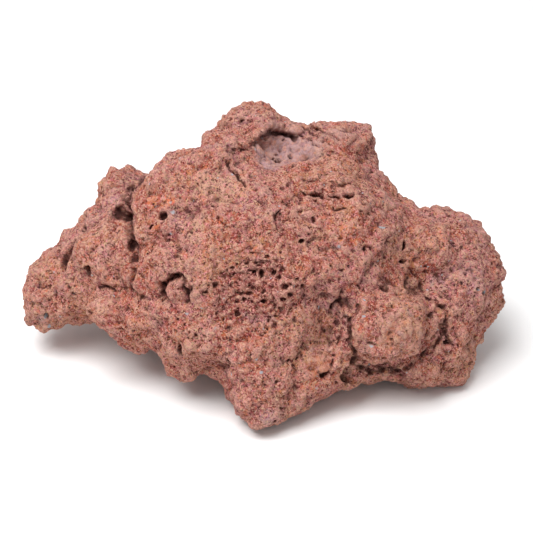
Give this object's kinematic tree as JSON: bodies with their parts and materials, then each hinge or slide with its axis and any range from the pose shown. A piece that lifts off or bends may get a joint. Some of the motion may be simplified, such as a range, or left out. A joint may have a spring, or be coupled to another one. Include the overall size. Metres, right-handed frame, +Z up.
{
  "type": "lava rock",
  "caption": "Rough porous lump of red lava rock, longer than it is wide, with knobs, deep creases and gas pits, lying on worn bumps of its underside.",
  "frame": {"origin": "on the surface that the stone lies on, under the middle of its bounding box", "axes": "+X along the stone's length, to the right as its pitted show side is seen; +Y away from the show side; +Z up"},
  "size_m": [0.2118, 0.1322, 0.104],
  "materials": {
    "scoria": "dry, matt and gritty: dusty reddish brown with ochre and purple-grey patches, dark inside its pores"
  },
  "bodies": {
    "root": {"lava_rock": "scoria"}
  },
  "joints": []
}
